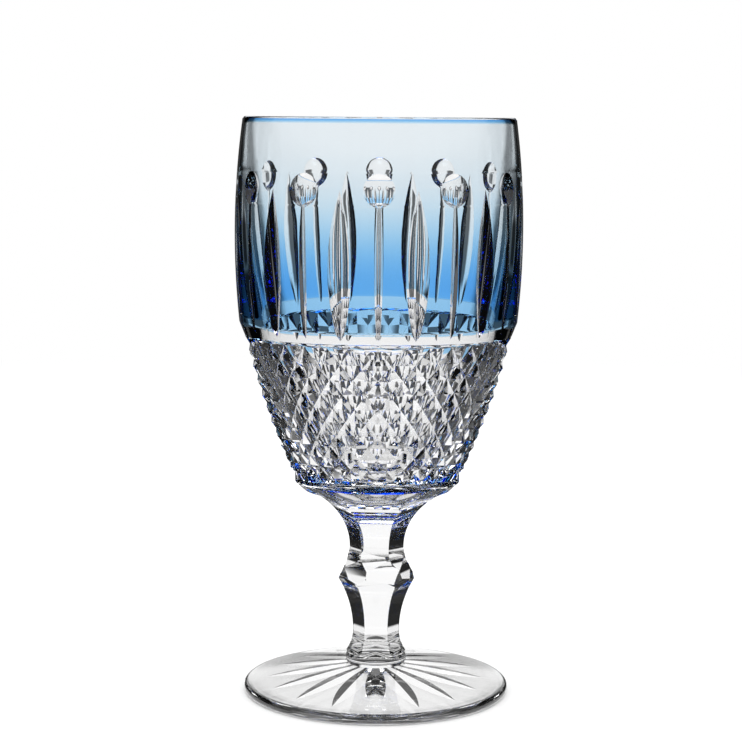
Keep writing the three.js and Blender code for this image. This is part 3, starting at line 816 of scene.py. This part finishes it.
def merese_sheet():
    sheet = Sheet()
    angles = np.linspace(0, 360, RING + 1)
    off_flute = np.radians((angles + HALF_FLUTE) % (2 * HALF_FLUTE) - HALF_FLUTE)
    apothem = flute_apothem(LOWER, np.array([MERESE_TOP]))[0]
    stem_outline = np.minimum(apothem / np.cos(off_flute), MERESE_SEAT_RADIUS - 2 * SEAM_GAP)
    middle, half = (FOOT_SEAT + MERESE_TOP) / 2, (MERESE_TOP - FOOT_SEAT) / 2
    bow = MERESE_RADIUS - MERESE_SEAT_RADIUS
    rows = [(0.0, FOOT_SEAT + SEAM_GAP), (MERESE_SEAT_RADIUS - SEAM_GAP, FOOT_SEAT + SEAM_GAP)]
    rows += [(MERESE_SEAT_RADIUS + bow * (1 - t ** 2), middle + half * t) for t in np.linspace(-1, 1, 13)]
    rows += [(stem_outline, MERESE_TOP), (0.0, MERESE_TOP)]
    points = np.stack([place(radius, angles, height) for radius, height in rows])
    fused = np.zeros((len(rows) - 1, RING))
    fused[[0, -1]] = 1
    sheet.grid(points, fused)
    return sheet.mesh("merese_sheet")


finish(gather([merese_sheet()]), "merese", crystal)

# %% [markdown]
# ## The foot
# The foot is a shallow cone with a rounded edge. Underneath it is dished, so that it stands on a narrow ring,
# and a star of sixteen mitre cuts in the dish shows from above through the glass. Booleans would leave slivers
# where the rays meet, so half of one ray is made as a grid, and the tree repeats it.

# %% Foot: the star and the standing ring
FOOT_RADIUS, FOOT_ROUNDING, FOOT_STANDING, FOOT_DISH = 41.6, 1.5, 38.5, 5.0
STAR_RAYS, STAR_TIP, STAR_HEART, STAR_DEPTH, STAR_MITRE = 16, 34.0, 3.0, 1.3, 135
RAY_STEPS = 4


def star_half():
    sheet = Sheet()
    half_ray = 180 / STAR_RAYS
    r = np.concatenate([[0.0], np.linspace(STAR_HEART, STAR_TIP, 48),
                        np.linspace(FOOT_STANDING, FOOT_RADIUS - FOOT_ROUNDING, 4)])
    slope = math.tan(math.radians(STAR_MITRE / 2))
    share = (r - STAR_HEART) / (STAR_TIP - STAR_HEART)
    sunk = STAR_DEPTH * np.maximum(1 - (2 * share - 1) ** 2, 0)
    edge = np.degrees(np.arctan2(sunk * slope, np.maximum(r, TINY)))[:, None]
    ray = edge * shares(RAY_STEPS)
    flat = edge + (half_ray - edge) * shares(RING // (2 * STAR_RAYS))[:, 1:]
    lift = np.maximum(sunk[:, None] - np.tan(np.radians(ray)) * r[:, None] / slope, 0)
    dish = FOOT_DISH * np.clip((FOOT_STANDING - r) / (FOOT_STANDING - STAR_HEART), 0, 1)
    heights = np.concatenate([lift, np.zeros_like(flat)], 1) + dish[:, None]
    sheet.grid(place(r[:, None], np.concatenate([ray, flat], 1), heights))
    return sheet.mesh("star_half")


star = evaluate("star", star_half(), {"Count": STAR_RAYS, "Material": crystal})
print("star:", len(star.polygons), "faces")

# %% Foot: the turned top and the whole
FOOT_EDGE, SEAT_MARGIN = 3.2, 0.4


def foot_turned():
    sheet = Sheet()
    start = FOOT_RADIUS - FOOT_ROUNDING
    edge = [(start + FOOT_ROUNDING * math.cos(a), FOOT_EDGE / 2 * (1 + math.sin(a)))
            for a in np.linspace(-math.pi / 2, math.pi / 2, 17)]
    seat = MERESE_RADIUS + SEAT_MARGIN
    top = [(start + (seat - start) * t, FOOT_EDGE + (FOOT_SEAT - FOOT_EDGE) * t)
           for t in np.linspace(0, 1, 24)[1:]]
    rows = edge + top + [(MERESE_SEAT_RADIUS, FOOT_SEAT), (0.0, FOOT_SEAT)]
    fused = np.zeros((len(rows) - 1, RING))
    fused[-1] = 1
    sheet.grid(ring_stack(rows, RING), fused)
    return sheet.mesh("foot_turned")


finish(gather([star, foot_turned()]), "foot", crystal)

# %% [markdown]
# ## The studio
# Clear glass shows what stands around it. A photographer of glass works against white and sets dark cards where
# the edges and side facets look, so that these draw dark lines. Real cards would stand in the way of other
# views. So the floor and the sky answer each ray by its path, which the Light Path node tells: the camera sees
# plain white, and a ray through glass sees the cards too. Their angles are counted from straight behind.

# %% Studio: cards at both sides
SOFT = {"interpolation_type": "SMOOTHSTEP"}
SIDE_CARD, STEM_CARD = (43.5, 9.5), (52, 31)  # middle and half width in degrees
SIDE_CARD_LEVEL, CARD_CORE = 0.012, 0.8


def compass(tree, vector):
    """The angle of a place or a direction to the side of straight behind the goblet."""
    split = add(tree, "ShaderNodeSeparateXYZ", None, {0: vector}).outputs
    return add(tree, MATH, {"operation": "ARCTAN2"}, {0: split["X"], 1: split["Y"]})


def side_card(tree, angle, card):
    """How dark it is where a card stands at either side, with soft edges."""
    middle, half = (math.radians(degrees) for degrees in card)
    side = add(tree, MATH, {"operation": "ABSOLUTE"}, {0: angle})
    beside = add(tree, MATH, SUBTRACT, {0: side, 1: middle})
    off = add(tree, MATH, {"operation": "ABSOLUTE"}, {0: beside})
    return add(tree, MAP_RANGE, SOFT, {0: off, 1: half, 2: CARD_CORE * half, 4: 1 - SIDE_CARD_LEVEL})


print("side cards at", SIDE_CARD[0], "degrees")

# %% [markdown]
# ## What a ray sees
# A ray through any glass sees the dark cards. In a single piece, such as the stem, it has crossed at most two
# faces, and its reflections see wider cards, because the stem's facets turn light farther. Each bounce inside
# the glass dims the light, like an echo, which tells the facets apart. A reflection on the outside shows a dim
# room, or white where a place is mirrored.

# %% Studio: what a ray sees
MIRROR, STEM_FACES = 0.06, 2.5


def seen_level(tree, dark, wide, echo, mirrored):
    """The brightness of a place: 1 for the camera and for lighting, less for rays that met glass."""
    path = add(tree, "ShaderNodeLightPath").outputs
    one_piece = add(tree, MATH, {"operation": "LESS_THAN"}, {0: path["Transmission Depth"], 1: STEM_FACES})
    by_stem = add(tree, MATH, MULTIPLY, {0: wide, 1: one_piece})
    through = add(tree, MATH, MULTIPLY, {0: dark, 1: path["Is Transmission Ray"]})
    on_glass = add(tree, MATH, MULTIPLY, {0: by_stem, 1: path["Is Glossy Ray"]})
    darkest = add(tree, MATH, MAXIMUM, {0: through, 1: on_glass})
    clear = add(tree, MATH, SUBTRACT, {0: 1.0, 1: darkest})
    inner = add(tree, MATH, {"operation": "POWER"}, {0: echo, 1: path["Glossy Depth"]})
    outer = add(tree, MAP_RANGE, None, {"Value": mirrored, "To Min": MIRROR})
    # A reflection is an outer one when the ray bounced and never went through glass.
    bounce = add(tree, MATH, {"operation": "MINIMUM"}, {0: path["Glossy Depth"], 1: 0.5})
    is_outer = add(tree, MATH, {"operation": "GREATER_THAN"}, {0: bounce, 1: path["Transmission Depth"]})
    bounced = add(tree, "ShaderNodeMix", None, {0: is_outer, 2: inner, 3: outer})
    return add(tree, MATH, MULTIPLY, {0: clear, 1: bounced})


print("outside reflections show", MIRROR, "of white")

# %% [markdown]
# ## The sky
# The world is the white surround. A picture of a studio could be wrapped around it, but a few soft steps along
# the height of a direction, 0 at the horizon and 1 overhead, are enough: the cards stand on the table, and the
# ceiling is dark.

# %% Studio: the sky
ECHO, SKY_ECHO, CEILING_LEVEL = 0.13, 0.2, 0.15
# Each soft step says where it starts and ends, and its value before and after.
CARD_BASE, CARD_TOP = (0.03, 0.08, 0, 1), (0.55, 0.65, 1, 0)
CEILING = 0.78, 0.9, 0, 1 - CEILING_LEVEL
HIGH_SKY, MIRRORED_SKY = (0.3, 0.5, ECHO, SKY_ECHO), (0.08, 0.2, 0, 1)

scene.world = bpy.data.worlds.new("studio")
tree = empty_tree(scene.world)
view = add(tree, "ShaderNodeTexCoord").outputs["Generated"]
view_angle = compass(tree, view)
lift = add(tree, "ShaderNodeSeparateXYZ", None, {0: view}).outputs["Z"]
base, top, ceiling, sky_echo, sky_mirrored = (
    add(tree, MAP_RANGE, SOFT, dict(enumerate((lift, *step))))
    for step in (CARD_BASE, CARD_TOP, CEILING, HIGH_SKY, MIRRORED_SKY))
band = add(tree, MATH, MULTIPLY, {0: base, 1: top})
sides = side_card(tree, view_angle, SIDE_CARD)
cards = add(tree, MATH, MULTIPLY, {0: band, 1: sides})
sky_dark = add(tree, MATH, MAXIMUM, {0: cards, 1: ceiling})
wide_sides = side_card(tree, view_angle, STEM_CARD)
sky_wide = add(tree, MATH, MULTIPLY, {0: top, 1: wide_sides})
sky_level = seen_level(tree, sky_dark, sky_wide, sky_echo, sky_mirrored)
sky = add(tree, "ShaderNodeBackground", None, {"Color": linear("#FFFFFF"), "Strength": sky_level})
add(tree, "ShaderNodeOutputWorld", None, {"Surface": sky})
print("sky:", len(tree.nodes), "nodes")

# %% [markdown]
# ## The floor
# The goblet stands on white paper. For the camera it is matt near by and keeps the shadow, and farther out it is
# a painted white glow, so that no edge is seen. White alone would do for the camera, but through glass and in
# reflections the whole paper is a painted glow. That glow also shows the side cards, a ring of eight cards
# farther off, and a closer strip for rays that crossed the bowl's cut wall, all as painted dark patches. Gaps
# straight ahead keep the middle white. Distances are in metres.

# %% Studio: cards on the floor
CARDS, CARD_LEVEL, STRIP_LEVEL = 8, 0.15, 0.12
WALL_FACES, WALL_SPREAD = 4.0, 1.5
RING_CARD, STRIP_CARD = (-0.2, -0.7, 0, 1 - CARD_LEVEL), (0.5, 0.1, 0, 1 - STRIP_LEVEL)
PAST_FOOT, FAR_RING = (0.09, 0.12, 0, 1), (0.42, 0.5, 0, 1)
STRIP_START, STRIP_END = (0.18, 0.21, 0, 1), (0.4, 0.46, 1, 0)

# Matt only for the camera near by; farther out, through glass and in reflections, the paper is a painted glow.
paper = bpy.data.materials.new("white_paper")  # matt, so the goblet's shadow falls softly on it
tree = empty_tree(paper)
path = add(tree, "ShaderNodeLightPath").outputs
where = add(tree, "ShaderNodeTexCoord").outputs["Object"]
radius = add(tree, "ShaderNodeVectorMath", {"operation": "LENGTH"}, {0: where}).outputs["Value"]
angle = compass(tree, where)
turns = add(tree, MATH, MULTIPLY, {0: angle, 1: CARDS})
wave = add(tree, MATH, {"operation": "COSINE"}, {0: turns})
ring_cards, strip_cards = (add(tree, MAP_RANGE, SOFT, dict(enumerate((wave, *step))))
                           for step in (RING_CARD, STRIP_CARD))
past_foot, strip_start, strip_end, far_ring = (
    add(tree, MAP_RANGE, SOFT, dict(enumerate((radius, *step))))
    for step in (PAST_FOOT, STRIP_START, STRIP_END, FAR_RING))
near_sides = side_card(tree, angle, SIDE_CARD)
near = add(tree, MATH, MULTIPLY, {0: past_foot, 1: near_sides})
dark = add(tree, "ShaderNodeMix", None, {0: far_ring, 2: near, 3: ring_cards})
strip = add(tree, MATH, {"operation": "COMPARE"},
            {0: path["Transmission Depth"], 1: WALL_FACES, 2: WALL_SPREAD})
for part in (strip_start, strip_end, strip_cards):
    strip = add(tree, MATH, MULTIPLY, {0: strip, 1: part})
dark = add(tree, MATH, MAXIMUM, {0: dark, 1: strip})
print("floor cards:", CARDS, "around")

# %% Studio: the paper
FAR_ECHO, FOOT_ECHO = 0.82, 0.72
NEAR_PAPER, GLOWING_PAPER, FAR_PAPER = (0.12, 0.16, 1, 0), (0.6, 0.9, 0, 1), (0.9, 1.4, 0, 1)
FLOOR_HALF, FLOOR_HEIGHT = 6, -0.0001

by_foot, glowing, far = (add(tree, MAP_RANGE, SOFT, dict(enumerate((radius, *step))))
                         for step in (NEAR_PAPER, GLOWING_PAPER, FAR_PAPER))
stem_cards = side_card(tree, angle, STEM_CARD)
far_side = add(tree, MATH, MULTIPLY, {0: far, 1: stem_cards})
far_echo = add(tree, MAP_RANGE, None, {"Value": far_side, "To Min": ECHO, "To Max": FAR_ECHO})
echo = add(tree, MAP_RANGE, None, {"Value": past_foot, "To Min": FOOT_ECHO, "To Max": far_echo})
wide = add(tree, MATH, MULTIPLY, {0: past_foot, 1: stem_cards})
ahead = add(tree, MATH, SUBTRACT, {0: 1.0, 1: stem_cards})
mirrored = add(tree, MATH, MULTIPLY, {0: by_foot, 1: ahead})
# Painted light: through glass and in reflections the paper's glow carries painted dark cards, a painted dimming
# for each bounce, and a dim reflection that is white only near the foot.
level = seen_level(tree, dark, wide, echo, mirrored)
glow = add(tree, "ShaderNodeEmission", None, {"Color": linear("#FFFFFF"), "Strength": level})
matt = add(tree, "ShaderNodeBsdfDiffuse", None, {"Color": linear("#F4F4F4")})
in_glass = add(tree, MATH, MAXIMUM, {0: path["Is Transmission Ray"], 1: path["Is Glossy Ray"]})
shown = add(tree, MATH, MAXIMUM, {0: in_glass, 1: glowing})
mixed = add(tree, "ShaderNodeMixShader", None, {0: shown, 1: matt, 2: glow})
add(tree, "ShaderNodeOutputMaterial", None, {"Surface": mixed})

floor_mesh = bpy.data.meshes.new("floor")
corners = [(x * FLOOR_HALF, y * FLOOR_HALF, FLOOR_HEIGHT) for x, y in ((-1, -1), (1, -1), (1, 1), (-1, 1))]
floor_mesh.from_pydata(corners, [], [(0, 1, 2, 3)])
floor_mesh.materials.append(paper)
floor = linked("floor", floor_mesh)
print("floor:", len(tree.nodes), "nodes in its paper")

# %% [markdown]
# ## Lamp and camera
# A small lamp would burn hot spots into the facets, so one wide softbox hangs over the goblet. The camera has a
# long lens and looks slightly down, as for a product picture. Light crosses many faces of glass, and with too
# few bounces the deepest cuts would turn black, so their number is raised.

# %% Lamp
softbox = bpy.data.lights.new("overhead_softbox", "AREA")
softbox.size, softbox.energy = 1.2, 12.0
linked("overhead_softbox", softbox).location = (0.0, 0.1, 1.4)
print("softbox", softbox.energy, "W")

# %% Camera
CAMERA_PLACE, CAMERA_TILT, CAMERA_ROLL = (0, -0.63894, 0.180), 0.1224, 0.0075
GLASS_BOUNCES = 40
camera_data = bpy.data.cameras.new("camera")
camera_data.lens, camera_data.sensor_width = 100.2, 36.0
camera_data.shift_x = -0.0093
camera_data.clip_start = 0.01
camera = linked("camera", camera_data)
tilted = Matrix.Rotation(math.pi / 2 - CAMERA_TILT, 4, "X") @ Matrix.Rotation(CAMERA_ROLL, 4, "Z")
camera.matrix_world = Matrix.Translation(CAMERA_PLACE) @ tilted
scene.camera = camera
scene.view_settings.view_transform = "Standard"
cycles = scene.cycles
cycles.max_bounces = cycles.transmission_bounces = cycles.glossy_bounces = GLASS_BOUNCES
print("camera at", [round(value, 3) for value in camera.location])
